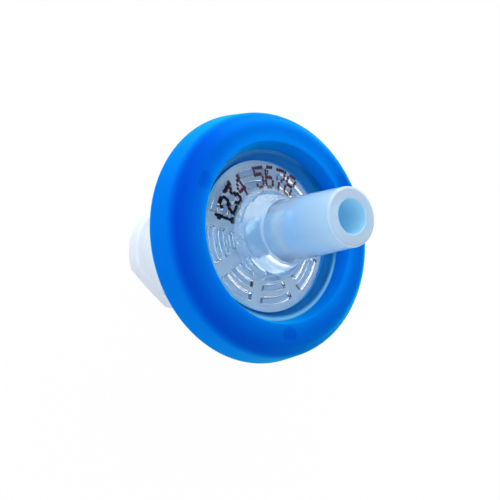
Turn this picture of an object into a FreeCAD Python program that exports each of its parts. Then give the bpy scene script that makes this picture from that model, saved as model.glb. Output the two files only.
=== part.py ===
"""Overmoulded syringe filter, 13 mm class.

A porous membrane lies between two natural polypropylene mouldings. The inlet housing carries a female
luer-lock hub, the outlet housing a male slip-luer tip and the grid that supports the membrane. A coloured
ring, moulded round the rims of both, seals the stack.

Frame: millimetres, +Z along the flow from the inlet to the tip, origin at the centre of the inlet's end
face, +X through the middle of one sector of the support grid.
"""
import FreeCAD, Part
import os
import Sketcher

FULL_TURN = 360.0
POSITION_TOLERANCE = 1e-4

# Sketcher's numbers for a sketch's own axes, and for the points of an edge
ACROSS_AXIS, UP_AXIS = -1, -2
START, END, CENTRE = 1, 2, 3

# Driving dimensions: alias, value, what it is. Lengths in mm, angles in degrees.
SIZES = (
    ("luer_slope", 0.03, "change of a luer cone's radius per mm of its length (6 % taper)"),
    # inlet housing
    ("hub_length", 8.95, "inlet end to the back of the inlet plate"),
    ("hub_end_radius", 3.3, "hub just inside its lugs"),
    ("hub_root_radius", 3.45, "hub where it would meet the plate"),
    ("hub_bevel", 0.4, "bevel between hub and plate"),
    ("lug_radius", 3.87, "luer-lock lugs, from the axis"),
    ("lug_thickness", 1.15, "lugs along the axis"),
    ("lug_flats", 6.7, "across the two flats between the lugs"),
    ("lug_turn", 127.0, "direction from the axis to the middle of one flat"),
    ("lug_edge", 0.2, "bevel of the lugs' rim"),
    ("socket_mouth_radius", 2.145, "female luer cone at its mouth"),
    ("socket_depth", 7.6, "female luer cone along the axis"),
    ("socket_chamfer", 0.15, "lead-in at the socket's mouth"),
    ("feed_radius", 0.65, "hole from the socket into the inlet chamber"),
    ("inlet_plate", 0.8, "thickness of the inlet plate under its chamber"),
    ("inlet_chamber", 0.5, "depth of the inlet chamber below the membrane"),
    ("spreader_count", 8, "distribution ribs in the inlet chamber"),
    ("spreader_width", 0.4, "width of a distribution rib"),
    ("spreader_height", 0.28, "height of a distribution rib"),
    ("spreader_start", 1.5, "distribution rib's inner end, from the axis"),
    ("spreader_gap", 0.5, "distribution rib's outer end to the chamber wall"),
    # membrane and the seat shared by both housings
    ("membrane_radius", 6.5, "membrane disc"),
    ("membrane_thickness", 0.15, "membrane disc"),
    ("membrane_clearance", 0.05, "membrane edge to the wall of its pocket"),
    ("clamp_width", 1.2, "width of the membrane's clamped border"),
    ("rim_land", 0.35, "width of the rims' contact outside the pocket"),
    # outlet housing
    ("support_height", 0.4, "height of the support ribs above the drained floor"),
    ("outlet_plate", 1.0, "thickness of the outlet plate over its floor"),
    ("row_pitch", 0.865, "distance between rows of support ribs"),
    ("row_width", 0.42, "width of a support rib"),
    ("edge_channel", 0.84, "chamber wall to the middle of the outermost row"),
    ("centre_clear", 1.5, "no row of support ribs has its middle nearer the axis than this"),
    ("sector_count", 8, "sectors of the support grid"),
    ("spoke_width", 1.05, "radial drain between two sectors"),
    ("boss_root_radius", 2.85, "boss where it would meet the plate"),
    ("boss_ledge", 0.1456, "boss's upper end beyond the base of the luer cone, across"),
    ("boss_height", 1.82, "boss above the plate"),
    ("boss_fillet", 0.7, "rounding between boss and plate"),
    ("boss_step", 0.16, "bevel from the boss to the luer cone, along the axis"),
    ("tip_length", 6.48, "male luer cone along the axis"),
    ("tip_end_radius", 1.98, "male luer cone at its end"),
    ("tip_edge", 0.15, "bevel of the tip's end"),
    ("bore_mouth_radius", 1.156, "outlet bore at its mouth"),
    ("bore_slope", 0.02, "change of the bore's radius per mm of its length"),
    ("bore_depth", 4.2, "outlet bore from the tip's end"),
    ("bore_cone", 0.42, "cone at the bottom of the outlet bore, along the axis"),
    ("neck_radius", 0.45, "passage between well and outlet bore"),
    ("neck_length", 0.14, "passage between well and outlet bore"),
    ("well_root_radius", 0.76, "collecting well at the drained floor"),
    ("well_top_radius", 0.7, "collecting well where its dome starts"),
    # overmoulded ring
    ("ring_wall", 1.78, "rims to the ring's widest line"),
    ("lip_height", 1.07, "ring's front face above the outlet plate"),
    ("lip_overlap", 0.98, "front lip over the outlet plate"),
    ("lip_flare", 0.28, "slope of the front lip's inner wall, across"),
    ("lip_edge", 0.1, "bevel of the front lip's inner edge"),
    ("face_setback", 1.08, "widest line to the front face's outer edge, across"),
    ("face_edge", 0.22, "rounding of the front face's outer edge"),
    ("shoulder_setback", 0.24, "widest line to the shoulder's foot, across"),
    ("shoulder_drop", 0.91, "front face to the shoulder's foot"),
    ("shoulder_edge", 0.5, "rounding of the shoulder's foot"),
    ("parting_drop", 2.92, "front face to the widest line"),
    ("rear_lip", 0.35, "thickness of the rear lip"),
    ("rear_overlap", 0.7, "rear lip over the inlet plate"),
    ("rear_flare", 0.2, "slope of the rear lip's inner wall, across"),
    ("rear_setback", 1.13, "widest line to the rear face's outer edge, across"),
    ("rear_edge", 0.16, "bevel of the rear face's outer edge"),
    ("ejector_count", 3, "ejector-pin marks on the front face"),
    ("ejector_radius", 0.6, "ejector-pin mark"),
    ("ejector_circle", 6.95, "middle of an ejector-pin mark, from the axis"),
    ("ejector_depth", 0.05, "ejector-pin mark"),
    ("ejector_turn", -7.0, "direction of the first ejector-pin mark"),
)

# What follows from the sizes: alias, formula. Levels are heights above the inlet's end face.
LEVELS = (
    ("inlet_back", "Sizes.hub_length"),
    ("inlet_floor", "inlet_back + Sizes.inlet_plate"),
    ("seat", "inlet_floor + Sizes.inlet_chamber"),
    ("clamp", "seat + Sizes.membrane_thickness"),
    ("outlet_floor", "clamp + Sizes.support_height"),
    ("outlet_front", "outlet_floor + Sizes.outlet_plate"),
    ("boss_top", "outlet_front + Sizes.boss_height"),
    ("luer_base", "boss_top + Sizes.boss_step"),
    ("tip_end", "luer_base + Sizes.tip_length"),
    ("bore_end", "tip_end - Sizes.bore_depth"),
    ("neck_top", "bore_end - Sizes.bore_cone"),
    ("neck_foot", "neck_top - Sizes.neck_length"),
    ("dome_foot", "neck_foot - sqrt(Sizes.well_top_radius ^ 2 - Sizes.neck_radius ^ 2)"),
    ("ring_face", "outlet_front + Sizes.lip_height"),
    ("shoulder_foot", "ring_face - Sizes.shoulder_drop"),
    ("parting_line", "ring_face - Sizes.parting_drop"),
    ("ring_back", "inlet_back - Sizes.rear_lip"),
    ("chamber_radius", "Sizes.membrane_radius - Sizes.clamp_width"),
    ("pocket_radius", "Sizes.membrane_radius + Sizes.membrane_clearance"),
    ("rim_radius", "pocket_radius + Sizes.rim_land"),
    ("outer_row_radius", "chamber_radius - Sizes.edge_channel"),
    ("spoke_reach", "outer_row_radius + (Sizes.row_width + Sizes.edge_channel) / 2"),
    ("spreader_end", "chamber_radius - Sizes.spreader_gap"),
    ("socket_end_radius", "Sizes.socket_mouth_radius - Sizes.luer_slope * Sizes.socket_depth"),
    ("tip_base_radius", "Sizes.tip_end_radius + Sizes.luer_slope * Sizes.tip_length"),
    ("boss_top_radius", "tip_base_radius + Sizes.boss_ledge"),
    ("bore_end_radius", "Sizes.bore_mouth_radius - Sizes.bore_slope * Sizes.bore_depth"),
    ("ring_radius", "rim_radius + Sizes.ring_wall"),
    ("lip_foot_radius", "rim_radius - Sizes.lip_overlap"),
    ("lip_top_radius", "lip_foot_radius + Sizes.lip_flare"),
    ("face_radius", "ring_radius - Sizes.face_setback"),
    ("shoulder_radius", "ring_radius - Sizes.shoulder_setback"),
    ("rear_foot_radius", "rim_radius - Sizes.rear_overlap"),
    ("rear_top_radius", "rear_foot_radius + Sizes.rear_flare"),
    ("rear_face_radius", "ring_radius - Sizes.rear_setback"),
)


def fill_sheet(doc, name, rows):
    """A spreadsheet of that name: alias in column A, value or formula in column B, note in column C."""
    sheet = doc.addObject("Spreadsheet::Sheet", name)
    for number, (alias, value, note) in enumerate(rows, start=1):
        sheet.set("A%d" % number, alias)
        sheet.set("B%d" % number, str(value))
        sheet.setAlias("B%d" % number, alias)
        sheet.set("C%d" % number, note)
    doc.recompute()
    return sheet


def make_body(doc, label):
    """An empty body whose label names the sub-part."""
    body = doc.addObject("PartDesign::Body", label)
    body.Label = label
    return body


def new_sketch(body, name, role, level=None, turn=None):
    """A sketch on one of the body's origin planes, lifted to a level and turned about +Z on request."""
    sketch = body.newObject("Sketcher::SketchObject", name)
    plane = next(item for item in body.Origin.OriginFeatures if item.Role == role)
    sketch.AttachmentSupport = [(plane, "")]
    sketch.MapMode = "FlatFace"
    if level:
        sketch.setExpression("AttachmentOffset.Base.z", level)
    if turn:
        sketch.AttachmentOffset = FreeCAD.Placement(
            FreeCAD.Vector(), FreeCAD.Rotation(FreeCAD.Vector(0, 0, 1), 1.0))
        sketch.setExpression("AttachmentOffset.Rotation.Angle", turn)
    return sketch


def bind(sketch, constraint, formula):
    """Add a constraint and bind its value to a formula over the sheets."""
    index = sketch.addConstraint(constraint)
    sketch.setExpression("Constraints[%d]" % index, formula)


def pin_point(sketch, edge, end, across, along):
    """Place one end of an edge at two formulas; a zero puts it on the sketch's own axis."""
    for formula, kind, axis in ((across, "DistanceX", UP_AXIS), (along, "DistanceY", ACROSS_AXIS)):
        if formula == "0":
            sketch.addConstraint(Sketcher.Constraint("PointOnObject", edge, end, axis))
        else:
            value = float(sketch.evalExpression(formula))
            bind(sketch, Sketcher.Constraint(kind, ACROSS_AXIS, START, edge, end, value), formula)


def arc_between(start, end, radius):
    """The short arc of that radius from start to end, bulging to the right of the chord."""
    chord = end - start
    side = FreeCAD.Vector(-chord.y, chord.x, 0).normalize()
    reach = (radius ** 2 - (chord.Length / 2) ** 2) ** 0.5
    centre = (start + end) / 2 + side * reach
    middle = centre - side * radius
    return Part.Arc(start, middle, end)


def add_outline(sketch, corners):
    """One closed outline. A corner is (across, along), or (across, along, radius) after an arc."""
    spots = [FreeCAD.Vector(*(float(sketch.evalExpression(item)) for item in corner[:2]), 0)
             for corner in corners]
    edges = []
    for number, corner in enumerate(corners):
        start, end = spots[number - 1], spots[number]
        if len(corner) == 3:
            arc = arc_between(start, end, float(sketch.evalExpression(corner[2])))
            edges.append((sketch.addGeometry(arc), corner))
        else:
            edges.append((sketch.addGeometry(Part.LineSegment(start, end)), corner))
    for number, (edge, corner) in enumerate(edges):
        following = edges[(number + 1) % len(edges)]
        arrives = end_at(sketch, edge, spots[number])
        leaves = end_at(sketch, following[0], spots[number])
        sketch.addConstraint(Sketcher.Constraint("Coincident", edge, arrives, following[0], leaves))
        pin_point(sketch, edge, arrives, corner[0], corner[1])
        if len(corner) == 3:
            radius = float(sketch.evalExpression(corner[2]))
            bind(sketch, Sketcher.Constraint("Radius", edge, radius), corner[2])


def end_at(sketch, edge, spot):
    """Which end of the edge lies at the spot; an arc always runs anticlockwise, so either may."""
    away = {end: (sketch.getPoint(edge, end) - spot).Length for end in (START, END)}
    return min(away, key=away.get)


def add_circle(sketch, across, radius):
    """A circle with its centre on the sketch's first axis."""
    centre = FreeCAD.Vector(float(sketch.evalExpression(across)), 0, 0)
    size = float(sketch.evalExpression(radius))
    edge = sketch.addGeometry(Part.Circle(centre, FreeCAD.Vector(0, 0, 1), size))
    pin_point(sketch, edge, CENTRE, across, "0")
    bind(sketch, Sketcher.Constraint("Radius", edge, size), radius)


def turned(body, kind, name, outlines):
    """A Revolution or Groove of closed outlines about the axis; outlines are (radius, level) corners."""
    sketch = new_sketch(body, name + "_profile", "XZ_Plane")
    for corners in outlines:
        add_outline(sketch, corners)
    feature = body.newObject("PartDesign::" + kind, name)
    feature.Profile = sketch
    feature.ReferenceAxis = (sketch, ["V_Axis"])
    feature.Angle = FULL_TURN
    body.Document.recompute()
    return feature


def prism(body, kind, name, sketch, length, upwards=True):
    """A Pad or Pocket of a flat sketch, running up or down the axis."""
    feature = body.newObject("PartDesign::" + kind, name)
    feature.Profile = sketch
    feature.setExpression("Length", length)
    feature.Reversed = upwards if kind == "Pocket" else not upwards
    body.Document.recompute()
    return feature


def repeated(body, feature, name, count):
    """The feature repeated evenly about the axis."""
    pattern = body.newObject("PartDesign::PolarPattern", name)
    pattern.Originals = [feature]
    pattern.Axis = (feature.Profile[0], ["N_Axis"])
    pattern.Angle = FULL_TURN
    pattern.setExpression("Occurrences", count)
    body.Tip = pattern
    body.Document.recompute()
    return pattern


def eased(body, name, kind, size, rings):
    """A Fillet or Chamfer on full circular edges; rings are (radius, level) formulas."""
    base = body.Tip
    wanted = [tuple(float(base.evalExpression(item)) for item in ring) for ring in rings]
    names = []
    for number, edge in enumerate(base.Shape.Edges, start=1):
        if not isinstance(edge.Curve, Part.Circle):
            continue
        for radius, level in wanted:
            if (abs(edge.Curve.Radius - radius) < POSITION_TOLERANCE
                    and abs(edge.Curve.Center.z - level) < POSITION_TOLERANCE):
                names.append("Edge%d" % number)
    if len(names) < len(rings):
        raise RuntimeError("%s: a circular edge was not found" % name)
    feature = body.newObject("PartDesign::" + kind, name)
    feature.Base = (base, names)
    feature.setExpression("Radius" if kind == "Fillet" else "Size", size)
    body.Document.recompute()
    return feature


def make_inlet_housing(doc):
    """Hub, lugs and plate turned as one; then socket, feed hole, membrane pocket, flats and ribs."""
    body = make_body(doc, "inlet_housing")
    turned(body, "Revolution", "hub_and_plate", [(
        ("0", "0"),
        ("Sizes.lug_radius", "0"),
        ("Sizes.lug_radius", "Sizes.lug_thickness"),
        ("Sizes.hub_end_radius", "Sizes.lug_thickness"),
        ("Sizes.hub_root_radius", "Levels.inlet_back"),
        ("Levels.rim_radius", "Levels.inlet_back"),
        ("Levels.rim_radius", "Levels.clamp"),
        ("0", "Levels.clamp"),
    )])
    turned(body, "Groove", "flow_path", [(
        ("0", "0"),
        ("Sizes.socket_mouth_radius", "0"),
        ("Levels.socket_end_radius", "Sizes.socket_depth"),
        ("Sizes.feed_radius", "Sizes.socket_depth"),
        ("Sizes.feed_radius", "Levels.inlet_floor"),
        ("Levels.chamber_radius", "Levels.inlet_floor"),
        ("Levels.chamber_radius", "Levels.seat"),
        ("Levels.pocket_radius", "Levels.seat"),
        ("Levels.pocket_radius", "Levels.clamp"),
        ("0", "Levels.clamp"),
    )])
    eased(body, "hub_root", "Chamfer", "Sizes.hub_bevel", [("Sizes.hub_root_radius", "Levels.inlet_back")])
    eased(body, "lug_bevel", "Chamfer", "Sizes.lug_edge",
          [("Sizes.lug_radius", "0"), ("Sizes.lug_radius", "Sizes.lug_thickness")])
    eased(body, "socket_lead_in", "Chamfer", "Sizes.socket_chamfer", [("Sizes.socket_mouth_radius", "0")])
    flats = new_sketch(body, "flats_outline", "XY_Plane", turn="Sizes.lug_turn")
    for side in ("", "-"):
        add_outline(flats, [
            (side + "Sizes.lug_radius", "-Sizes.lug_radius"),
            (side + "Sizes.lug_radius", "Sizes.lug_radius"),
            (side + "Sizes.lug_flats / 2", "Sizes.lug_radius"),
            (side + "Sizes.lug_flats / 2", "-Sizes.lug_radius"),
        ])
    prism(body, "Pocket", "flats", flats, "Sizes.lug_thickness")
    rib = new_sketch(body, "spreader_outline", "XY_Plane", level="Levels.inlet_floor")
    add_outline(rib, [
        ("Sizes.spreader_start", "-Sizes.spreader_width / 2"),
        ("Levels.spreader_end", "-Sizes.spreader_width / 2"),
        ("Levels.spreader_end", "Sizes.spreader_width / 2"),
        ("Sizes.spreader_start", "Sizes.spreader_width / 2"),
    ])
    spreader = prism(body, "Pad", "spreader", rib, "Sizes.spreader_height")
    repeated(body, spreader, "spreaders", "Sizes.spreader_count")
    return body


def make_filter_membrane(doc):
    """The porous disc in its pocket."""
    body = make_body(doc, "filter_membrane")
    disc = new_sketch(body, "disc_outline", "XY_Plane", level="Levels.seat")
    add_circle(disc, "0", "Sizes.membrane_radius")
    prism(body, "Pad", "disc", disc, "Sizes.membrane_thickness")
    return body


def support_channels(sizes, levels):
    """Outlines of the ring-shaped channels that leave the rows of support ribs standing."""
    span = levels.outer_row_radius - sizes.centre_clear
    rows = int(span / sizes.row_pitch) + 1
    middles = ["Levels.outer_row_radius - %d * Sizes.row_pitch" % number for number in range(rows)]
    outer_walls = ["Levels.chamber_radius"] + [middle + " - Sizes.row_width / 2" for middle in middles]
    inner_walls = [middle + " + Sizes.row_width / 2" for middle in middles] + ["0"]
    return [(
        (inner, "Levels.clamp"),
        (outer, "Levels.clamp"),
        (outer, "Levels.outlet_floor"),
        (inner, "Levels.outlet_floor"),
    ) for inner, outer in zip(inner_walls, outer_walls)]


def make_outlet_housing(doc, sizes, levels):
    """Plate, boss and luer tip turned as one; then the support grid, the collecting well and the bore."""
    body = make_body(doc, "outlet_housing")
    turned(body, "Revolution", "plate_and_tip", [(
        ("0", "Levels.clamp"),
        ("Levels.rim_radius", "Levels.clamp"),
        ("Levels.rim_radius", "Levels.outlet_front"),
        ("Sizes.boss_root_radius", "Levels.outlet_front"),
        ("Levels.boss_top_radius", "Levels.boss_top"),
        ("Levels.tip_base_radius", "Levels.luer_base"),
        ("Sizes.tip_end_radius", "Levels.tip_end"),
        ("0", "Levels.tip_end"),
    )])
    eased(body, "boss_root", "Fillet", "Sizes.boss_fillet",
          [("Sizes.boss_root_radius", "Levels.outlet_front")])
    eased(body, "tip_bevel", "Chamfer", "Sizes.tip_edge", [("Sizes.tip_end_radius", "Levels.tip_end")])
    turned(body, "Groove", "support_rings", support_channels(sizes, levels))
    spoke = new_sketch(body, "spoke_outline", "XY_Plane", level="Levels.clamp",
                       turn="%g / (2 * Sizes.sector_count)" % FULL_TURN)
    add_outline(spoke, [
        ("0", "-Sizes.spoke_width / 2"),
        ("Levels.spoke_reach", "-Sizes.spoke_width / 2"),
        ("Levels.spoke_reach", "Sizes.spoke_width / 2"),
        ("0", "Sizes.spoke_width / 2"),
    ])
    drain = prism(body, "Pocket", "radial_drain", spoke, "Sizes.support_height")
    repeated(body, drain, "radial_drains", "Sizes.sector_count")
    turned(body, "Groove", "outlet_path", [(
        ("0", "Levels.outlet_floor"),
        ("Sizes.well_root_radius", "Levels.outlet_floor"),
        ("Sizes.well_top_radius", "Levels.dome_foot"),
        ("Sizes.neck_radius", "Levels.neck_foot", "Sizes.well_top_radius"),
        ("Sizes.neck_radius", "Levels.neck_top"),
        ("Levels.bore_end_radius", "Levels.bore_end"),
        ("Sizes.bore_mouth_radius", "Levels.tip_end"),
        ("0", "Levels.tip_end"),
    )])
    return body


def make_overmould_ring(doc):
    """C-shaped section round both rims, with a flared front lip, a bevelled shoulder and ejector marks."""
    body = make_body(doc, "overmould_ring")
    turned(body, "Revolution", "ring", [(
        ("Levels.lip_foot_radius", "Levels.outlet_front"),
        ("Levels.lip_top_radius", "Levels.ring_face"),
        ("Levels.face_radius", "Levels.ring_face"),
        ("Levels.shoulder_radius", "Levels.shoulder_foot"),
        ("Levels.ring_radius", "Levels.parting_line"),
        ("Levels.rear_face_radius", "Levels.ring_back"),
        ("Levels.rear_top_radius", "Levels.ring_back"),
        ("Levels.rear_foot_radius", "Levels.inlet_back"),
        ("Levels.rim_radius", "Levels.inlet_back"),
        ("Levels.rim_radius", "Levels.outlet_front"),
    )])
    eased(body, "lip_bevel", "Chamfer", "Sizes.lip_edge", [("Levels.lip_top_radius", "Levels.ring_face")])
    eased(body, "face_rounding", "Fillet", "Sizes.face_edge", [("Levels.face_radius", "Levels.ring_face")])
    eased(body, "shoulder_rounding", "Fillet", "Sizes.shoulder_edge",
          [("Levels.shoulder_radius", "Levels.shoulder_foot")])
    eased(body, "rear_bevel", "Chamfer", "Sizes.rear_edge",
          [("Levels.rear_face_radius", "Levels.ring_back")])
    mark = new_sketch(body, "ejector_outline", "XY_Plane", level="Levels.ring_face",
                      turn="Sizes.ejector_turn")
    add_circle(mark, "Sizes.ejector_circle", "Sizes.ejector_radius")
    dimple = prism(body, "Pocket", "ejector_mark", mark, "Sizes.ejector_depth", upwards=False)
    repeated(body, dimple, "ejector_marks", "Sizes.ejector_count")
    return body


def check_document(doc, bodies):
    """Stop if any object failed or any sub-part isn't one valid solid."""
    for item in doc.Objects:
        if "Invalid" in item.State or "Error" in item.State:
            raise RuntimeError("%s failed: %s" % (item.Name, item.State))
    for body in bodies:
        shape = body.Shape
        if shape.isNull() or not shape.isValid() or len(shape.Solids) != 1:
            raise RuntimeError("%s is not one valid solid" % body.Label)


def main():
    doc = FreeCAD.newDocument("syringe_filter")
    sizes = fill_sheet(doc, "Sizes", SIZES)
    levels = fill_sheet(doc, "Levels", [(alias, "=" + formula, "") for alias, formula in LEVELS])
    bodies = [
        make_inlet_housing(doc),
        make_filter_membrane(doc),
        make_outlet_housing(doc, sizes, levels),
        make_overmould_ring(doc),
    ]
    doc.recompute()
    check_document(doc, bodies)
    os.makedirs("parts", exist_ok=True)
    for body in bodies:
        body.Shape.exportStep(os.path.join("parts", body.Label + ".step"))
        print("%-16s %9.3f mm3" % (body.Label, body.Shape.Volume))


main()
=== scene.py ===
"""Looks of the overmoulded syringe filter: two natural polypropylene housings, the membrane between them,
the blue ring moulded round their rims, and the dot-matrix marking on the outlet plate.

Sizes are in millimetres, as on the drawing, and become metres when a mesh is made. +Z runs from the inlet
to the outlet tip, +X through the middle of one sector of the support grid.
"""
import math

import bpy
import numpy as np
from mathutils import Matrix, Vector


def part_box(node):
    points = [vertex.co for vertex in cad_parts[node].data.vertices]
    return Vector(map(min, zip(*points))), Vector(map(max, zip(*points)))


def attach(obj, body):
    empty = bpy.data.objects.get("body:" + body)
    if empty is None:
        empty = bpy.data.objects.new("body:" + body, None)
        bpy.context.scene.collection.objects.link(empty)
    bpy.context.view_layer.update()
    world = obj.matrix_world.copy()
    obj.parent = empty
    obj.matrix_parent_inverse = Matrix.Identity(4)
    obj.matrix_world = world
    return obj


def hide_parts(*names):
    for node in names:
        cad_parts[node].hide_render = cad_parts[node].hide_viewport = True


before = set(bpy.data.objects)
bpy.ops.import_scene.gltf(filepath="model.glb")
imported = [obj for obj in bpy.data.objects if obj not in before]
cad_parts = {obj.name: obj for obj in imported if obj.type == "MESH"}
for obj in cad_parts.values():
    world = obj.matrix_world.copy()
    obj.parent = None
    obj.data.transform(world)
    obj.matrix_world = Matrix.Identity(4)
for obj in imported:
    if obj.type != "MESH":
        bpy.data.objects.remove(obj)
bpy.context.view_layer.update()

MM = 0.001


def extent(node):
    """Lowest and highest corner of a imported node, in millimetres."""
    low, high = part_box(node)
    return np.array(low) / MM, np.array(high) / MM


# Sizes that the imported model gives
OUTLET_LOW, OUTLET_HIGH = extent("outlet_housing")
MEMBRANE_LOW, MEMBRANE_HIGH = extent("filter_membrane")
RING_LOW, RING_HIGH = extent("overmould_ring")
SEAT, CLAMP, TIP_END = MEMBRANE_LOW[2], OUTLET_LOW[2], OUTLET_HIGH[2]
RING_BACK, RING_FACE = RING_LOW[2], RING_HIGH[2]
MEMBRANE_RADIUS = MEMBRANE_HIGH[0]
RIM_RADIUS = OUTLET_HIGH[0]
RING_RADIUS = RING_HIGH[0]

# Membrane seat, shared by both housings
SECTORS = 8
CHAMBER_RADIUS = MEMBRANE_RADIUS - 1.2
POCKET_RADIUS = MEMBRANE_RADIUS + 0.05

# Outlet housing: support grid, boss, luer cone, bore and collecting well
SUPPORT_HEIGHT = 0.4
OUTLET_FLOOR = CLAMP + SUPPORT_HEIGHT
OUTLET_FRONT = OUTLET_FLOOR + 1.0
ROW_WIDTH = 0.42
ROW_PITCH = 0.865
EDGE_CHANNEL = 0.84
ROW_MIDDLES = CHAMBER_RADIUS - EDGE_CHANNEL - ROW_PITCH * np.arange(4)
SPOKE_WIDTH = 1.05
BOSS_ROOT_RADIUS = 2.85
BOSS_FILLET = 0.7
BOSS_TOP = OUTLET_FRONT + 1.82
BOSS_TOP_RADIUS = 2.32
LUER_SLOPE = 0.03
LUER_BASE = BOSS_TOP + 0.16
TIP_END_RADIUS = 1.98
TIP_BASE_RADIUS = TIP_END_RADIUS + LUER_SLOPE * (TIP_END - LUER_BASE)
BORE_END = TIP_END - 4.2
BORE_MOUTH_RADIUS = 1.156
BORE_END_RADIUS = 1.072
BORE_CONE = 0.42
NECK_RADIUS = 0.45
NECK_FOOT = BORE_END - 0.56
WELL_ROOT_RADIUS = 0.76
WELL_TOP_RADIUS = 0.72

# Inlet housing: hub, lugs, socket and chamber
INLET_BACK = SEAT - 1.3
INLET_FLOOR = SEAT - 0.5
HUB_RADIUS = 3.3
HUB_ROOT_RADIUS = 3.45
LUG_RADIUS = 3.87
LUG_THICKNESS = 1.15
LUG_FLAT = 3.35
LUG_TURN = math.radians(127)
SOCKET_LEAD_RADIUS = 2.295
SOCKET_LEAD = 0.15
SOCKET_MOUTH_RADIUS = 2.145
SOCKET_END_RADIUS = 1.917
SOCKET_DEPTH = 7.6
FEED_RADIUS = 0.65
SPREADER_MIDDLE = 3.15
SPREADER_LENGTH = 3.3
SPREADER_WIDTH = 0.4
SPREADER_HEIGHT = 0.28

# Overmoulded ring, measured from its widest line, its front face and the housings' rims
PARTING_LINE = RING_FACE - 2.92
SHOULDER_FOOT = RING_FACE - 0.91
SHOULDER_RADIUS = RING_RADIUS - 0.24
FACE_RADIUS = RING_RADIUS - 1.08
REAR_FACE_RADIUS = RING_RADIUS - 1.13
LIP_TOP_RADIUS = RIM_RADIUS - 0.7
LIP_FOOT_RADIUS = RIM_RADIUS - 0.98
REAR_FOOT_RADIUS = RIM_RADIUS - 0.7
REAR_TOP_RADIUS = RIM_RADIUS - 0.5
EJECTOR_TURNS = np.radians([-7, 113, 233])
EJECTOR_CIRCLE = 6.95
EJECTOR_RADIUS = 0.6
EJECTOR_DEPTH = 0.02
FACE_ROWS = LIP_TOP_RADIUS + np.linspace(1.1, 0.1, 22)  # close enough together to carry the ejector marks

CONTACT = 0.004  # neighbours sink into each other this far, so that no two faces lie in one plane


# ---------------------------------------------------------------- camera

CAMERA_AIM = Vector((0.785, -1.267, 10.874)) * MM
CAMERA_DISTANCE = 109.906 * MM
CAMERA_AZIMUTH, CAMERA_TILT, CAMERA_ROLL = math.radians(2), math.radians(38.42), math.radians(77.96)
CAMERA_LENS = 116.3


def add_camera():
    """Camera looking down on the outlet side, rolled so that the tip points to the right of the frame."""
    camera = bpy.data.objects.new("camera", bpy.data.cameras.new("camera"))
    bpy.context.scene.collection.objects.link(camera)
    camera.data.lens = CAMERA_LENS
    camera.data.sensor_width = 36.0
    camera.data.clip_start = 0.005
    turn = (Matrix.Rotation(CAMERA_AZIMUTH, 3, "Z") @ Matrix.Rotation(CAMERA_TILT, 3, "X")
            @ Matrix.Rotation(CAMERA_ROLL, 3, "Z"))
    camera.matrix_world = Matrix.LocRotScale(
        CAMERA_AIM + turn @ Vector((0, 0, CAMERA_DISTANCE)), turn, None)
    bpy.context.scene.camera = camera


# ---------------------------------------------------------------- surfaces

HOLD = 0.04  # distance of the row that holds a flat stretch flat beside a rounding
SIDE_STEPS = np.linspace(-0.5, 0.5, 5)  # rows or columns across a rib's rounded side, in shares of its slope
SAME_LEVEL = 1e-6  # heights nearer to each other than this are one level


def smooth_step(share):
    """Rises from 0 to 1 as share does, level at both ends: 3s^2 - 2s^3."""
    share = np.clip(share, 0, 1)
    return share * share * (3 - 2 * share)


def corner_arc(before, corner, after, radius, count=7):
    """Points of the arc of that radius tangent to the two sides of a corner. With the half angle h between
    the sides, the arc starts radius / tan(h) from the corner, and its centre is radius / sin(h) away."""
    back, ahead = before - corner, after - corner
    back, ahead = back / np.linalg.norm(back), ahead / np.linalg.norm(ahead)
    half = math.acos(np.clip(back @ ahead, -1, 1)) / 2
    middle = (back + ahead) / np.linalg.norm(back + ahead)
    centre = corner + middle * radius / math.sin(half)
    start = corner + back * radius / math.tan(half) - centre
    turn = (math.pi - 2 * half) * np.linspace(0, 1, count)
    side = np.cross(back, ahead)
    turn = turn * (1 if side < 0 else -1)
    cos, sin = np.cos(turn), np.sin(turn)
    return centre + np.stack([start[0] * cos - start[1] * sin, start[0] * sin + start[1] * cos], 1)


def outline(corners):
    """Closed outline in (radius, height), anticlockwise, through corners (radius, height, rounding, cuts).
    A rounding of 0 keeps the corner sharp. Cuts are the radii or heights of extra points on the stretch
    that leaves the corner; long stretches also get a point just inside each end."""
    points = [np.array(corner[:2], float) for corner in corners]
    arcs = []
    for number, corner in enumerate(corners):
        here = points[number]
        if corner[2] > 0:
            following = points[(number + 1) % len(points)]
            arcs.append(corner_arc(points[number - 1], here, following, corner[2]))
        else:
            arcs.append(here[None, :])
    rows = []
    for number, arc in enumerate(arcs):
        start, end = arc[-1], arcs[(number + 1) % len(arcs)][0]
        length = np.linalg.norm(end - start)
        shares = [HOLD / length, 1 - HOLD / length] if length > 3 * HOLD else []
        cuts = corners[number][3] if len(corners[number]) > 3 else []
        axis = int(np.argmax(np.abs(end - start)))
        shares = np.concatenate([shares, (np.asarray(cuts, float) - start[axis]) / (end - start)[axis]])
        shares = np.sort(shares[(shares > 0) & (shares < 1)])
        rows += [arc, start + shares[:, None] * (end - start)]
    return np.concatenate(rows)


def wall_cuts(middles, width, slope):
    """Radii of the rows that shape ribs standing on a floor: each side of a rib falls over the slope."""
    edges = np.concatenate([middles - width / 2, middles + width / 2])
    return np.sort((edges[:, None] + SIDE_STEPS * slope).ravel())


def ridge(distance, half_width, slope):
    """1 within half_width of the middle of a rib, falling smoothly to 0 across the slope."""
    return 1 - smooth_step((np.abs(distance) - half_width) / slope + 0.5)


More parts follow.
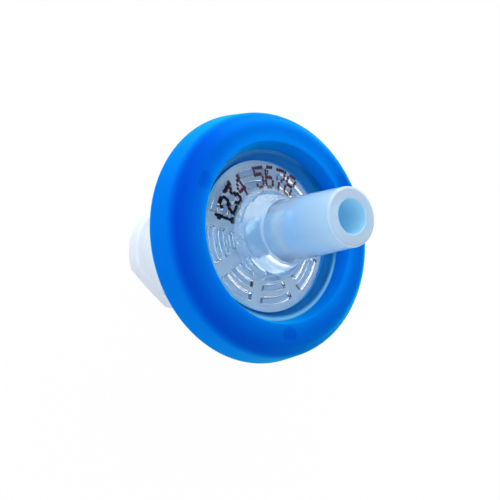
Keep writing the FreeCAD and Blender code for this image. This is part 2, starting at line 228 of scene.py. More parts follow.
def sector_columns(radii, half_width, slope, inside, outside):
    """Azimuths of a turned surface's columns, one row for each radius, that run along the sides of ribs in
    every sector. Within a sector the columns are spread between the sides at +-half_width(radius), five of
    them follow each side's slope, and the rest fill the space to the next sector."""
    near = np.linspace(-1, 1, inside)[1:-1]
    side = SIDE_STEPS * slope
    gap = np.linspace(0, 1, outside + 1)[1:]
    r = radii[:, None]
    half = half_width[:, None]
    low = (half - slope / 2) / r
    high = (half + slope / 2) / r
    edge = math.pi / SECTORS
    block = np.concatenate([
        near * low,
        (half + side) / r,
        high + gap * (edge - high),
        edge + gap[:-1] * (edge - high),
        2 * edge - (half + side[::-1]) / r,
    ], 1)
    return np.concatenate([block + 2 * edge * number for number in range(SECTORS)], 1)


def even_columns(count):
    """Azimuths of a plain turned surface, shaped as one row."""
    return np.linspace(0, 2 * math.pi, count, endpoint=False)[None, :]


def closed_surface(name, x, y, z):
    """A mesh over a grid of points that closes on itself both ways, in metres, smooth where it bends by
    less than 40 degrees."""
    rows, columns = z.shape
    index = np.arange(rows * columns).reshape(rows, columns)
    below = np.roll(index, -1, 0)
    quads = np.stack([index, np.roll(index, -1, 1), np.roll(below, -1, 1), below], 2).reshape(-1, 4)
    points = np.stack([x, y, z], 2).reshape(-1, 3) * MM
    return make_piece(name, points, quads)


def make_piece(name, points, faces):
    """An object at the origin whose mesh has these points and four-cornered faces."""
    mesh = bpy.data.meshes.new(name)
    mesh.vertices.add(len(points))
    mesh.vertices.foreach_set("co", points.astype(np.float32).ravel())
    mesh.loops.add(faces.size)
    mesh.loops.foreach_set("vertex_index", faces.astype(np.int32).ravel())
    mesh.polygons.add(len(faces))
    mesh.polygons.foreach_set("loop_start", np.arange(0, faces.size, 4, dtype=np.int32))
    mesh.update(calc_edges=True)
    mesh.validate()
    mesh.polygons.foreach_set("use_smooth", np.ones(len(mesh.polygons), bool))
    mesh.set_sharp_from_angle(angle=math.radians(40))
    piece = bpy.data.objects.new(name, mesh)
    bpy.context.scene.collection.objects.link(piece)
    return piece


def store(piece, name, values):
    """Keep one number for each point of a piece as a named attribute."""
    layer = piece.data.attributes.new(name, "FLOAT", "POINT")
    layer.data.foreach_set("value", np.ascontiguousarray(values, np.float32).ravel())


def turned(name, section, azimuths, height=None):
    """A closed section turned about the axis: x = r cos(a), y = r sin(a), with height(r, z, a) as z where
    it is given."""
    r = np.broadcast_to(section[:, :1], (len(section), azimuths.shape[1]))
    z = np.broadcast_to(section[:, 1:], r.shape)
    a = np.broadcast_to(azimuths, r.shape)
    if height is not None:
        z = height(r, z, a)
    return closed_surface(name, r * np.cos(a), r * np.sin(a), z)


# ---------------------------------------------------------------- pieces

RIB_SLOPE = 0.09  # how far a moulded rib's rounded side runs
OUTLET_COLUMNS_FROM, OUTLET_COLUMNS_TO = 1.55, 4.9  # radii over which columns follow the support ribs
INLET_COLUMNS_FROM, INLET_COLUMNS_TO = 1.4, 6  # radii over which they follow the inlet's ribs
RIM_ROWS = CHAMBER_RADIUS + np.linspace(0.8, 0, 11)  # radii of the plate's front rows over the clamped border


def spoke_half(radii):
    """Half the length of a support rib along its row: the sector's half width less half a spoke."""
    return radii * (math.pi / SECTORS - np.arcsin(np.clip(SPOKE_WIDTH / 2 / radii, 0, 0.99)))


def sector_angle(azimuths):
    """Angle from the middle of the nearest sector."""
    step = 2 * math.pi / SECTORS
    return (azimuths + step / 2) % step - step / 2


def outlet_height(r, z, a):
    """The drained floor drops to the clamp level wherever a row of ribs crosses a sector."""
    rows = sum(ridge(r - middle, ROW_WIDTH / 2, RIB_SLOPE) for middle in ROW_MIDDLES)
    along = ridge(r * sector_angle(a), spoke_half(r), RIB_SLOPE)
    floor = np.abs(z - OUTLET_FLOOR) < SAME_LEVEL
    return np.where(floor, z - (SUPPORT_HEIGHT - CONTACT / 4) * rows * along, z)


def make_outlet_housing():
    """Plate, support grid, boss, luer tip, bore and collecting well, as one closed section turned."""
    section = outline([
        (WELL_ROOT_RADIUS, OUTLET_FLOOR, 0.05, wall_cuts(ROW_MIDDLES, ROW_WIDTH, RIB_SLOPE)),
        (CHAMBER_RADIUS, OUTLET_FLOOR, 0.06),
        (CHAMBER_RADIUS, CLAMP, 0.05),
        (RIM_RADIUS, CLAMP, 0.04),
        (RIM_RADIUS, OUTLET_FRONT, 0.1, RIM_ROWS),
        (BOSS_ROOT_RADIUS, OUTLET_FRONT, BOSS_FILLET),
        (BOSS_TOP_RADIUS, BOSS_TOP, 0.06),
        (TIP_BASE_RADIUS, LUER_BASE, 0.05, np.linspace(LUER_BASE, TIP_END, 9)),
        (TIP_END_RADIUS, TIP_END, 0.2),
        (BORE_MOUTH_RADIUS, TIP_END, 0.05, np.linspace(TIP_END, BORE_END, 7)),
        (BORE_END_RADIUS, BORE_END, 0.15),
        (NECK_RADIUS, BORE_END - BORE_CONE, 0.05),
        (NECK_RADIUS, NECK_FOOT, 0.03),
        (WELL_TOP_RADIUS, NECK_FOOT - 0.12, 0.45, np.linspace(NECK_FOOT - 0.7, NECK_FOOT - 2.3, 9)),
    ])
    radii = np.clip(section[:, 0], OUTLET_COLUMNS_FROM, OUTLET_COLUMNS_TO)
    columns = sector_columns(radii, spoke_half(radii), RIB_SLOPE, inside=11, outside=7)
    piece = turned("clear_outlet_housing", section, columns, outlet_height)
    finish = outlet_finish(section, outlet_height(section[:, :1], section[:, 1:], columns))
    piece.data.polygons.foreach_set("material_index", finish.astype(np.int32).ravel())
    for name, amount in outlet_tones(section, columns).items():
        store(piece, name, np.broadcast_to(amount, columns.shape))
    return piece


# Where the outlet housing's tones begin and how far they run
LUER_TONE_FROM, LUER_TONE_RUN = LUER_BASE + 0.22, 2.5
TIP_TONE_RUN, TIP_TONE = 1.3, 0.8  # the second is the tone's strength
CLEAR_FOOT_FROM, CLEAR_FOOT_RUN = LUER_BASE + 1.22, 2.2
# Painted highlight: a pale arc round the plate's rim, full on one side and faint on the other
HIGHLIGHT_ARC_RADIUS, HIGHLIGHT_ARC_HALF_WIDTH, HIGHLIGHT_ARC_EDGE = CHAMBER_RADIUS + 0.5, 0.12, 0.3
HIGHLIGHT_ARC_TURN = 0.25  # direction in which the painted highlight arc is strongest, in radians
HIGHLIGHT_ARC_FROM, HIGHLIGHT_ARC_RUN = 0.35, 0.5  # cosine from that direction at which the arc begins, and its rise to full
FAINT_HIGHLIGHT_ARC = 0.25  # strength of the arc on the opposite side
HIGHLIGHT_CORE_DEPTH, HIGHLIGHT_CORE_HALF_HEIGHT, HIGHLIGHT_CORE_EDGE = 1.45, 0.4, 0.5  # painted highlight in the well; the depth is below the neck's foot


def outlet_tones(section, azimuths):
    """Amounts that grade the outlet housing's finishes. The luer's tone rises once above its foot and again
    near the tip; the foot's clearness falls as the height grows. The painted highlight arc in the plate's rim
    is a ridge round one radius, full on one side, faint on the other; the well's core, a painted highlight,
    is a ridge below the neck."""
    r, z = section[:, :1], section[:, 1:]
    facing = np.cos(azimuths - HIGHLIGHT_ARC_TURN)
    highlight_side = smooth_step((facing - HIGHLIGHT_ARC_FROM) / HIGHLIGHT_ARC_RUN)
    faint_highlight_side = smooth_step((-facing - HIGHLIGHT_ARC_FROM) / HIGHLIGHT_ARC_RUN)
    luer_tone = smooth_step((z - LUER_TONE_FROM) / LUER_TONE_RUN)
    tip_tone = smooth_step((z - TIP_END + TIP_TONE_RUN) / TIP_TONE_RUN)
    return {
        "along_luer": luer_tone + TIP_TONE * tip_tone,
        "clear_foot": 1 - smooth_step((z - CLEAR_FOOT_FROM) / CLEAR_FOOT_RUN),
        "painted_highlight_arc": ridge(r - HIGHLIGHT_ARC_RADIUS, HIGHLIGHT_ARC_HALF_WIDTH, HIGHLIGHT_ARC_EDGE) * (highlight_side + FAINT_HIGHLIGHT_ARC * faint_highlight_side),
        "well_painted_highlight": ridge(z - NECK_FOOT + HIGHLIGHT_CORE_DEPTH, HIGHLIGHT_CORE_HALF_HEIGHT, HIGHLIGHT_CORE_EDGE),
    }


OUTLET_FINISHES = ("plate", "plate_rim_painted_light", "floor", "rib_edge", "rib_end", "clamp_face_painted_blue_light", "chamber_wall_painted_reflection", "boss",
                   "luer", "luer_end", "bore", "well", "well_dome_painted_shade")
RIM_ZONE = CHAMBER_RADIUS + 0.06  # radius outside which the plate's front is its rim
BOSS_ZONE, LUER_ZONE, BORE_ZONE, WELL_ZONE = 2.0, 1.85, 1.2, 0.8  # radii that part the outside from the bore
MARGIN = 0.02  # how near to a level a face still belongs to it


def outlet_finish(section, height):
    """Number of the finish of every face, from the mean radius and height of its corners and from how
    much height it spans. Where zones overlap the later one counts."""
    corners = np.stack([height, np.roll(height, -1, 1), np.roll(height, -1, 0),
                        np.roll(np.roll(height, -1, 0), -1, 1)])
    level, span = corners.mean(0), np.ptp(corners, axis=0)
    r = np.broadcast_to((section[:, :1] + np.roll(section[:, :1], -1, 0)) / 2, level.shape)
    inside = r < CHAMBER_RADIUS - 0.1
    zones = {
        "floor": (level < OUTLET_FLOOR + MARGIN) & inside,
        "rib_edge": (level < OUTLET_FLOOR) & inside & (span > MARGIN),
        "rib_end": (level < CLAMP + 0.05) & inside,
        "plate_rim_painted_light": (level > OUTLET_FLOOR + 0.5) & (r > RIM_ZONE),
        "clamp_face_painted_blue_light": (level < OUTLET_FLOOR) & (r > CHAMBER_RADIUS) & (r < RIM_RADIUS - 0.1),
        "chamber_wall_painted_reflection": (level > CLAMP + MARGIN) & (level < OUTLET_FLOOR + MARGIN)
                        & (np.abs(r - CHAMBER_RADIUS) < 0.05),
        "boss": (level > OUTLET_FRONT + 0.03) & (r > BOSS_ZONE),
        "luer": (level > LUER_BASE - 0.03) & (r > LUER_ZONE),
        "luer_end": (level > TIP_END - 0.15) & (r > BORE_ZONE),
        "bore": (level > NECK_FOOT) & (r < BORE_ZONE),
        "well": (level > OUTLET_FLOOR + MARGIN) & (level <= NECK_FOOT) & (r < WELL_ZONE),
        "well_dome_painted_shade": (level > NECK_FOOT - 0.4) & (level <= BORE_END + 0.5) & (r < BORE_ZONE),
    }
    finish = np.zeros(level.shape)
    for name, zone in zones.items():
        finish = np.where(zone, OUTLET_FINISHES.index(name), finish)
    return finish


def inlet_height(r, z, a):
    """Radial distribution ribs stand on the inlet chamber's floor."""
    along = ridge(r - SPREADER_MIDDLE, SPREADER_LENGTH / 2, RIB_SLOPE)
    across = ridge(r * sector_angle(a), SPREADER_WIDTH / 2, RIB_SLOPE)
    floor = np.abs(z - INLET_FLOOR) < SAME_LEVEL
    return np.where(floor, z + SPREADER_HEIGHT * along * across, z)


def make_inlet_housing():
    """Luer-lock hub, plate, membrane pocket and socket, as one closed section turned. Beyond the hub the lugs
    shrink in proportion, to LUG_FLAT / |cos| of the angle from the middle of a flat."""
    section = outline([
        (SOCKET_LEAD_RADIUS, 0, 0.0),
        (LUG_RADIUS, 0, 0.2),
        (LUG_RADIUS, LUG_THICKNESS, 0.2),
        (HUB_RADIUS, LUG_THICKNESS, 0.08),
        (HUB_ROOT_RADIUS, INLET_BACK, 0.55),
        (RIM_RADIUS, INLET_BACK, 0.1),
        (RIM_RADIUS, CLAMP, 0.03),
        (POCKET_RADIUS, CLAMP, 0.03),
        (POCKET_RADIUS, SEAT, 0.03),
        (CHAMBER_RADIUS, SEAT, 0.05),
        (CHAMBER_RADIUS, INLET_FLOOR, 0.06,
         wall_cuts(np.array([SPREADER_MIDDLE]), SPREADER_LENGTH, RIB_SLOPE)),
        (FEED_RADIUS, INLET_FLOOR, 0.05),
        (FEED_RADIUS, SOCKET_DEPTH, 0.05),
        (SOCKET_END_RADIUS, SOCKET_DEPTH, 0.1, np.linspace(SOCKET_DEPTH, 0, 9)),
        (SOCKET_MOUTH_RADIUS, SOCKET_LEAD, 0.05),
    ])
    radii = np.clip(section[:, 0], INLET_COLUMNS_FROM, INLET_COLUMNS_TO)
    half_width = np.full_like(radii, SPREADER_WIDTH / 2)
    columns = sector_columns(radii, half_width, RIB_SLOPE, inside=5, outside=12)
    r, z = section[:, :1], section[:, 1:]
    reach = np.minimum(LUG_FLAT / np.maximum(np.abs(np.cos(columns - LUG_TURN)), 0.1), LUG_RADIUS)
    on_lug = (z < LUG_THICKNESS + 0.001) & (r > HUB_RADIUS)
    r = np.where(on_lug, HUB_RADIUS + (r - HUB_RADIUS) * (reach - HUB_RADIUS) / (LUG_RADIUS - HUB_RADIUS), r)
    height = inlet_height(r, np.broadcast_to(z, r.shape), columns)
    return closed_surface("clear_inlet_housing", r * np.cos(columns), r * np.sin(columns), height)


def ejector_marks(r, z, a):
    """1 inside the three round ejector-pin marks of the front face, falling to 0 across their edge."""
    marks = 0
    for turn in EJECTOR_TURNS:
        away = np.hypot(r * np.cos(a) - EJECTOR_CIRCLE * math.cos(turn),
                        r * np.sin(a) - EJECTOR_CIRCLE * math.sin(turn))
        marks = marks + ridge(away, EJECTOR_RADIUS, 0.3)
    return marks * (np.abs(z - RING_FACE) < SAME_LEVEL)


def ring_height(r, z, a):
    """The ejector-pin marks stand a little below the front face."""
    return z - EJECTOR_DEPTH * ejector_marks(r, z, a)


RING_COLUMNS = 640
PAINTED_LIGHT_SIDE_TURN = math.radians(165)  # the side on which painted light makes the blue look thinnest
PAINTED_LIGHT_SIDE_FROM, PAINTED_LIGHT_SIDE_RUN = 0.55, 0.45  # cosine from that side at which it begins, and its rise to full
PAINTED_LIGHT_SIDE = 0.4  # what the painted light adds to the thinness


def make_ring():
    """The overmoulded ring's C-shaped section turned, with its flared lip and bevelled shoulder. Its thinness
    follows the section, partly real and partly painted shade and light, and painted light makes it greater on
    one side."""
    section = outline([
        (REAR_FOOT_RADIUS, INLET_BACK + CONTACT, 0.0),
        (REAR_TOP_RADIUS, RING_BACK, 0.12),
        (REAR_FACE_RADIUS, RING_BACK, 0.22),
        (RING_RADIUS, PARTING_LINE, 0.4),
        (SHOULDER_RADIUS, SHOULDER_FOOT, 1.1),
        (FACE_RADIUS, RING_FACE, 0.8, FACE_ROWS),
        (LIP_TOP_RADIUS, RING_FACE, 0.16),
        (LIP_FOOT_RADIUS, OUTLET_FRONT - CONTACT, 0.0),
        (RIM_RADIUS - CONTACT, OUTLET_FRONT - CONTACT, 0.0),
        (RIM_RADIUS - CONTACT, INLET_BACK + CONTACT, 0.0),
    ])
    columns = even_columns(RING_COLUMNS)
    piece = turned("blue_overmould_ring", section, columns, ring_height)
    # painted light: the blue is made paler on one side of the ring
    painted_light_side = smooth_step((np.cos(columns - PAINTED_LIGHT_SIDE_TURN) - PAINTED_LIGHT_SIDE_FROM) / PAINTED_LIGHT_SIDE_RUN)
    store(piece, "thinness_and_painted_shading", ring_thinness_and_shading(section)[:, None] + PAINTED_LIGHT_SIDE * painted_light_side)
    store(piece, "ejector_mark", ejector_marks(section[:, :1], section[:, 1:], columns))
    return piece


# Thinness of the ring's blue, partly real and partly painted shade and light, by height up the outer wall, by
# radius over the face, by height inside the lip
OUTER_THINNESS_AND_SHADING = ([RING_BACK, PARTING_LINE + 0.25, SHOULDER_FOOT - 0.26, SHOULDER_FOOT + 0.29,
                   RING_FACE - 0.37, RING_FACE], [0.45, 0.46, 0.44, 0.0, 0.0, 0.24])
FACE_THINNESS_AND_SHADING = (LIP_TOP_RADIUS + np.array([0, 0.25, 0.5, 0.8, 1.1]), [1.0, 0.7, 0.44, 0.28, 0.24])
INNER_THINNESS_AND_SHADING = (OUTLET_FRONT + np.array([0, 0.7, 0.95]), [0.3, 0.16, 0.8])
OUTER_WALL_RADIUS = RING_RADIUS - 1.3


def ring_thinness_and_shading(section):
    """How thin the blue stands in front of the light at each row, partly real and partly painted: 0 on the
    thick shoulder, which is painted shade, nearly half down the outer wall, which is painted light, a quarter
    on the front face, and most at the lip's edge."""
    r, z = section.T
    outer = np.interp(z, *OUTER_THINNESS_AND_SHADING)
    face = np.interp(r, *FACE_THINNESS_AND_SHADING)
    inner = np.interp(z, *INNER_THINNESS_AND_SHADING)
    return np.where(r > OUTER_WALL_RADIUS, outer, np.where(r > LIP_TOP_RADIUS, face, inner))


def make_membrane():
    """The membrane disc as a turned section round a centre hole too small to see."""
    top, bottom = MEMBRANE_HIGH[2] - CONTACT / 2, MEMBRANE_LOW[2]
    hole = 0.002
    section = outline([
        (hole, bottom, 0.0, [2.0, 4.0]),
        (MEMBRANE_RADIUS, bottom, 0.02),
        (MEMBRANE_RADIUS, top, 0.02, [4.0, 2.0]),
        (hole, top, 0.0),
    ])
    return turned("white_membrane", section, even_columns(RING_COLUMNS // 4))


# Dot-matrix figures, five dots across and seven down, a row for each string
FIGURES = {
    "1": ("00100", "01100", "00100", "00100", "00100", "00100", "01110"),
    "2": ("01110", "10001", "00001", "00110", "01000", "10000", "11111"),
    "3": ("11111", "00010", "00100", "00010", "00001", "10001", "01110"),
    "4": ("00010", "00110", "01010", "10010", "11111", "00010", "00010"),
    "5": ("11111", "10000", "11110", "00001", "00001", "10001", "01110"),
    "6": ("01110", "10000", "10000", "11110", "10001", "10001", "01110"),
    "7": ("11111", "00001", "00001", "00010", "00100", "00100", "00100"),
    "8": ("01110", "10001", "10001", "01110", "10001", "10001", "01110"),
}
MARKING = "1234 5678"
MARKING_START = math.radians(246)
MARKING_STEP = math.radians(-13)
MARKING_FOOT, MARKING_TOP = 3.25, 4.65
DOT_PITCH = 0.155
DOT_RADIUS, BOLD_EXTRA = 0.101, 0.031
DOT_OVAL = 1.4  # length of a dot along its stroke over its width
SIZE_SCATTER, PLACE_SCATTER, OUTLINE_WAVER = 0.003, 0.008, 0.07
BOLD_PLACES = 1.6  # places of the text up to which the ink is full, and over which it then falls off
INK_THICKNESS = 0.006
INK_SEAT = 0.002  # how far a dot's edge lies in the plate


def dot_places():
    """Radius, azimuth and place in the text of every dot. A figure's tops point outwards, and the text
    reads clockwise seen from the tip."""
    places = []
    for place, figure in enumerate(MARKING):
        if figure == " ":
            continue
        grid = np.array([[int(dot) for dot in row] for row in FIGURES[figure]])
        down, across = np.nonzero(grid)
        radius = MARKING_TOP - (MARKING_TOP - MARKING_FOOT) * down / 6
        middle = MARKING_START + MARKING_STEP * place
        azimuth = middle - (across - 2) * DOT_PITCH / ((MARKING_FOOT + MARKING_TOP) / 2)
        places.append(np.stack([radius, azimuth, np.full(len(radius), place)], 1))
    return np.concatenate(places)


def make_marking():
    """Ink dots as flat domes: height falls as 1 - share^2 from the middle of a dot to its edge, and the
    outline, an oval that runs into the next dot of its stroke, wavers a little. The first figures carry
    the most ink."""
    rng = np.random.default_rng(4)
    places = dot_places()
    count = len(places)
    radius, azimuth, place = places.T
    bold = 1 - smooth_step((place - BOLD_PLACES) / BOLD_PLACES)
    size = DOT_RADIUS + BOLD_EXTRA * bold + rng.normal(0, SIZE_SCATTER, count)
    shift = rng.normal(0, PLACE_SCATTER, (count, 2))
    rings, spokes = np.array([1.0, 0.82, 0.45, 0.02]), 12
    turn = np.linspace(0, 2 * math.pi, spokes, endpoint=False)
    waver = 1 + OUTLINE_WAVER * rng.normal(0, 1, (count, 1, spokes))
    reach = size[:, None, None] * rings[None, :, None] * waver
    outwards = (radius + shift[:, 0])[:, None, None] + reach * DOT_OVAL * np.cos(turn)
    sideways = shift[:, 1][:, None, None] + reach * np.sin(turn)
    facing = azimuth[:, None, None]
    x = outwards * np.cos(facing) - sideways * np.sin(facing)
    y = outwards * np.sin(facing) + sideways * np.cos(facing)
    rise = OUTLET_FRONT - INK_SEAT + (INK_THICKNESS + INK_SEAT) * (1 - rings ** 2)
    z = np.broadcast_to(rise[None, :, None], x.shape)
    index = np.arange(x.size).reshape(x.shape)
    ahead = np.roll(index, -1, 2)
    sides = np.stack([index[:, :-1], ahead[:, :-1], ahead[:, 1:], index[:, 1:]], 3).reshape(-1, 4)
    piece = make_piece("ink_marking", np.stack([x, y, z], 3).reshape(-1, 3) * MM, sides)
    store(piece, "ink_load", np.repeat(bold, len(rings) * spokes))
    return piece


# ---------------------------------------------------------------- materials

def new_material(name):
    """A node material with its tree and its principled shader."""
    material = bpy.data.materials.new(name)
    material.use_nodes = True
    tree = material.node_tree
    shader = next(node for node in tree.nodes if node.type == "BSDF_PRINCIPLED")
    return material, tree, shader


def add_node(tree, kind, **values):
    """A node with its inputs set by name."""
    node = tree.nodes.new(kind)
    for key, value in values.items():
        node.inputs[key.replace("_", " ")].default_value = value
    return node


def object_noise(tree, scale, detail=3.0, stretch=(1, 1, 1)):
    """Noise over Object coordinates, in features per metre of the given scale."""
    place = tree.nodes.new("ShaderNodeTexCoord")
    mapping = add_node(tree, "ShaderNodeMapping", Scale=stretch)
    noise = add_node(tree, "ShaderNodeTexNoise", Scale=scale, Detail=detail)
    tree.links.new(place.outputs["Object"], mapping.inputs["Vector"])
    tree.links.new(mapping.outputs["Vector"], noise.inputs["Vector"])
    return noise.outputs["Fac"]


def ranged(tree, source, low, high, start=0.3, end=0.7):
    """The source's values from start to end spread over low to high."""
    spread = tree.nodes.new("ShaderNodeMapRange")
    spread.inputs["From Min"].default_value = start
    spread.inputs["From Max"].default_value = end
    spread.inputs["To Min"].default_value = low
    spread.inputs["To Max"].default_value = high
    tree.links.new(source, spread.inputs["Value"])
    return spread.outputs["Result"]


def mixed_colour(tree, share, first, second):
    """Colour between two fixed ones by a share."""
    mix = tree.nodes.new("ShaderNodeMix")
    mix.data_type = "RGBA"
    mix.inputs["A"].default_value = (*first, 1)
    mix.inputs["B"].default_value = (*second, 1)
    tree.links.new(share, mix.inputs["Factor"])
    return mix.outputs["Result"]


def stored(tree, name):
    """The piece's own attribute of that name."""
    node = tree.nodes.new("ShaderNodeAttribute")
    node.attribute_name = name
    return node.outputs["Fac"]


def added(tree, first, second):
    """Sum of two values."""
    node = tree.nodes.new("ShaderNodeMath")
    node.operation = "ADD"
    tree.links.new(first, node.inputs[0])
    tree.links.new(second, node.inputs[1])
    return node.outputs["Value"]


def add_bump(tree, shader, source, depth):
    """Bump of that depth, in metres."""
    bump = add_node(tree, "ShaderNodeBump", Strength=1.0, Distance=depth)
    tree.links.new(source, bump.inputs["Height"])
    tree.links.new(bump.outputs["Normal"], shader.inputs["Normal"])


def natural_polypropylene(name, clearness, roughness, thin, thick, ior=1.49, grade=None, veil=None):
    """Unpigmented polypropylene with a faint cloud between two tints, or a change from one to the other
    along the attribute named as grade. Clearness is the share that passes straight through; the rest
    scatters. A veil, as an attribute's name and a second clearness, changes the clearness along that
    attribute. A face pressed on its neighbour has an ior near 1: nothing reflects there."""
    material, tree, shader = new_material(name)
    shader.inputs["IOR"].default_value = ior
    shader.inputs["Transmission Weight"].default_value = clearness
    cloud = object_noise(tree, 260.0)
    if grade:
        tone = added(tree, stored(tree, grade), ranged(tree, cloud, -0.1, 0.1))
    else:
        tone = ranged(tree, cloud, 0, 1)
    colour = mixed_colour(tree, tone, thin, thick)
    tree.links.new(colour, shader.inputs["Base Color"])
    rough = ranged(tree, object_noise(tree, 1200.0), roughness * 0.8, roughness * 1.2)
    tree.links.new(rough, shader.inputs["Roughness"])
    if veil:
        attribute, end_clearness = veil
        passes = ranged(tree, stored(tree, attribute), clearness, end_clearness, 0.0, 1.0)
        tree.links.new(passes, shader.inputs["Transmission Weight"])
    add_bump(tree, shader, object_noise(tree, 900.0), 0.003 * MM)
    return material


def blue_polypropylene():
    """Pigmented blue polypropylene, satin as moulded, with a faint flow cloud in it. Its blue pales with the
    thinness value, which carries painted shade and painted light.
    """
    material, tree, shader = new_material("blue_polypropylene")
    cloud = ranged(tree, object_noise(tree, 180.0, stretch=(1, 1, 2)), -0.06, 0.06)
    # the thinness value is real thinness plus painted shade on the shoulder and painted light on the outer
    # wall and one side
    tone = added(tree, stored(tree, "thinness_and_painted_shading"), cloud)
    tone = added(tree, tone, ranged(tree, stored(tree, "ejector_mark"), 0.0, -0.25, 0.0, 1.0))
    colour = mixed_colour(tree, tone, (0.0, 0.047, 0.56), (0.0, 0.185, 0.84))
    tree.links.new(colour, shader.inputs["Base Color"])
    shader.inputs["Specular IOR Level"].default_value = 0.005
    shader.inputs["Sheen Weight"].default_value = 1.0
    shader.inputs["Sheen Roughness"].default_value = 0.52
    shader.inputs["Sheen Tint"].default_value = (0.0, 0.6, 1.0, 1)
    tree.links.new(ranged(tree, object_noise(tree, 700.0), 0.38, 0.48), shader.inputs["Roughness"])
    add_bump(tree, shader, object_noise(tree, 1500.0), 0.003 * MM)
    return material


def porous_membrane():
    """Matt white membrane with a fine fibrous mottle."""
    material, tree, shader = new_material("porous_membrane")
    mottle = object_noise(tree, 4000.0, 4.0)
    colour = mixed_colour(tree, ranged(tree, mottle, 0, 1), (0.86, 0.88, 0.90), (0.92, 0.93, 0.94))
    tree.links.new(colour, shader.inputs["Base Color"])
    shader.inputs["Roughness"].default_value = 0.9
    add_bump(tree, shader, mottle, 0.004 * MM)
    return material


def marking_ink():
    """Jet-printed ink: near-black navy where it lies thick, plum brown where it is thin."""
    material, tree, shader = new_material("marking_ink")
    colour = mixed_colour(tree, stored(tree, "ink_load"), (0.075, 0.02, 0.045), (0.0, 0.001, 0.011))
    shader.inputs["Specular IOR Level"].default_value = 0.08
    tree.links.new(colour, shader.inputs["Base Color"])
    tree.links.new(ranged(tree, object_noise(tree, 5000.0), 0.45, 0.7), shader.inputs["Roughness"])
    return material


# ---------------------------------------------------------------- stage

def white_material(name, glow):
    """White surface that the camera sees near pure white, with the object's shadow still on it: for rays
    from the camera, and those that clear plastic passes on, emission is mixed over the plain diffuse."""
    material, tree, shader = new_material(name)
    shader.inputs["Base Color"].default_value = (0.92, 0.92, 0.92, 1)
    shader.inputs["Roughness"].default_value = 0.9
    output = next(node for node in tree.nodes if node.type == "OUTPUT_MATERIAL")
    light = add_node(tree, "ShaderNodeEmission", Strength=1.0)
    light.inputs["Color"].default_value = (1, 1, 1, 1)
    path = tree.nodes.new("ShaderNodeLightPath")
    seen = seen_directly(tree, path)
    share = tree.nodes.new("ShaderNodeMath")
    share.operation = "MULTIPLY"
    share.inputs[1].default_value = glow
    tree.links.new(seen, share.inputs[0])
    mix = tree.nodes.new("ShaderNodeMixShader")
    tree.links.new(share.outputs["Value"], mix.inputs["Fac"])
    tree.links.new(shader.outputs["BSDF"], mix.inputs[1])
    tree.links.new(light.outputs["Emission"], mix.inputs[2])
    tree.links.new(mix.outputs["Shader"], output.inputs["Surface"])
    return material


def seen_directly(tree, path):
    """1 for camera rays and transmitted rays, else 0."""
    either = tree.nodes.new("ShaderNodeMath")
    either.operation = "MAXIMUM"
    tree.links.new(path.outputs["Is Camera Ray"], either.inputs[0])
    tree.links.new(path.outputs["Is Transmission Ray"], either.inputs[1])
    return either.outputs["Value"]


def add_floor():
    """A plain white floor under the inlet's end face."""
    reach = 1.5
    points = np.array([(-reach, -reach, 0), (reach, -reach, 0), (reach, reach, 0), (-reach, reach, 0)], float)
    floor = make_piece("floor", points, np.array([[0, 1, 2, 3]]))
    floor.data.materials.append(white_material("white_floor", 0.97))


def add_world():
    """Even white surroundings, white where they are seen and softer as a light and in reflections."""
    world = bpy.data.worlds.new("studio")
    bpy.context.scene.world = world
    world.use_nodes = True
    tree = world.node_tree
    background = next(node for node in tree.nodes if node.type == "BACKGROUND")
    path = tree.nodes.new("ShaderNodeLightPath")
    strength = ranged(tree, seen_directly(tree, path), 0.15, 1.0, 0.0, 1.0)
    tree.links.new(strength, background.inputs["Strength"])
    background.inputs["Color"].default_value = (1, 1, 1, 1)


LAMP_DISTANCE = 0.35
LAMP_AIM = 10.5 * MM  # height of the point on the axis that the lamps face


def add_lamp(name, towards, size, power):
    """A square soft lamp in that direction from the object, facing it. Size is in metres, power in watts."""
    lamp = bpy.data.lights.new(name, "AREA")
    lamp.size = size
    lamp.energy = power
    holder = bpy.data.objects.new(name, lamp)
    bpy.context.scene.collection.objects.link(holder)
    direction = Vector(towards).normalized()
    holder.location = Vector((0, 0, LAMP_AIM)) + direction * LAMP_DISTANCE
    holder.rotation_euler = direction.to_track_quat("Z", "Y").to_euler()


def light_object():
    """Soft light from all round, most from -X, and a little from above the tip."""
    add_world()
    add_lamp("far_lamp", (-1.0, 0.0, 0.25), 0.5, 1.55)
    add_lamp("left_lamp", (-0.8, -0.6, 0.25), 0.5, 0.9)
    add_lamp("right_lamp", (-0.5, 0.85, 0.2), 0.5, 1.55)
    add_lamp("near_lamp", (1.0, -0.15, 0.12), 0.5, 1.15)
    add_lamp("low_lamp", (0.4, -0.95, 0.25), 0.5, 0.35)
    add_lamp("top_lamp", (0.0, -0.55, 0.8), 0.3, 0.22)


# ---------------------------------------------------------------- assembly

def fit_piece(piece, finishes, node=None):
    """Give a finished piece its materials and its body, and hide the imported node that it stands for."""
    for finish in finishes:
        piece.data.materials.append(finish)
    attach(piece, "root")
    if node:
        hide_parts(node)


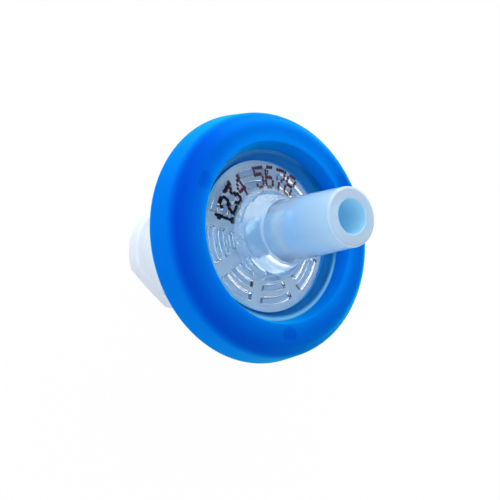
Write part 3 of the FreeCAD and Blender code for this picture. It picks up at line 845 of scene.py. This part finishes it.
add_camera()
outlet_finishes = {
    "plate": natural_polypropylene("clear_plate", 1.0, 0.01, (0.87, 0.95, 1.0), (0.91, 0.97, 1.0)),
    # Painted light: the rim's azure stands for the blue ring's light in the clear rim, and the painted
    # highlight arc makes it pale and scattering
    "plate_rim_painted_light": natural_polypropylene("plate_rim_painted_light", 1.0, 0.05, (0.20, 0.85, 1.0), (0.30, 0.72, 1.0),
                                       grade="painted_highlight_arc", veil=("painted_highlight_arc", 0.0)),
    # Painted shade: the channel floor is tinted darker and bluer than the plate, for the shade and blue ring
    # light in the recess
    "floor": natural_polypropylene("clear_floor_painted_shade", 1.0, 0.03, (0.56, 0.78, 1.0), (0.62, 0.82, 1.0)),
    "rib_edge": natural_polypropylene("rib_edge", 1.0, 0.03, (0.95, 0.97, 1.0), (0.97, 0.98, 1.0)),
    "rib_end": natural_polypropylene("wetted_rib_end", 0.9, 0.1, (0.38, 0.62, 0.96), (0.44, 0.68, 0.98)),
    # Painted light: the clamp face's azure stands for the blue ring's light on the pressed membrane border
    "clamp_face_painted_blue_light": natural_polypropylene("clamp_face_painted_blue_light", 0.0, 0.3, (0.0, 0.37, 1.0), (0.0, 0.41, 1.0), 1.02),
    # Painted reflection: the chamber wall's deep blue stands for the blue ring reflected in it
    "chamber_wall_painted_reflection": natural_polypropylene("chamber_wall_painted_reflection", 0.0, 0.3, (0.0, 0.4, 1.0), (0.0, 0.44, 1.0), 1.02),
    "boss": natural_polypropylene("milky_boss", 0.8, 0.14, (0.55, 0.78, 1.0), (0.6, 0.8, 1.0)),
    "luer": natural_polypropylene("frosted_luer", 0.6, 0.12, (0.50, 0.77, 1.0), (0.60, 0.81, 1.0),
                                  grade="along_luer", veil=("clear_foot", 0.66)),
    "luer_end": natural_polypropylene("luer_end", 0.5, 0.2, (0.70, 0.85, 1.0), (0.74, 0.87, 1.0)),
    # Painted light: the bore's azure stands for blue light seen through the luer, over the plastic's own tint
    "bore": natural_polypropylene("frosted_bore_painted_blue_light", 0.3, 0.5, (0.40, 0.80, 1.0), (0.45, 0.83, 1.0)),
    # Painted highlight: the well turns white round its core
    "well": natural_polypropylene("milky_well_painted_highlight", 0.2, 0.2, (0.36, 0.74, 1.0), (1.0, 1.0, 1.0),
                                  grade="well_painted_highlight"),
    # Painted shade: the dome's deep azure stands for the blue shade at the well's dome
    "well_dome_painted_shade": natural_polypropylene("well_dome_painted_shade", 0.1, 0.3, (0.10, 0.60, 1.0), (0.14, 0.64, 1.0)),
}
hub = natural_polypropylene("frosted_hub", 0.3, 0.4, (0.81, 0.89, 0.97), (0.85, 0.92, 1.0))
fit_piece(make_outlet_housing(), [outlet_finishes[name] for name in OUTLET_FINISHES],
          "outlet_housing")
fit_piece(make_inlet_housing(), [hub], "inlet_housing")
fit_piece(make_membrane(), [porous_membrane()], "filter_membrane")
fit_piece(make_ring(), [blue_polypropylene()], "overmould_ring")
fit_piece(make_marking(), [marking_ink()])
add_floor()
light_object()
bpy.context.scene.view_settings.view_transform = "Standard"
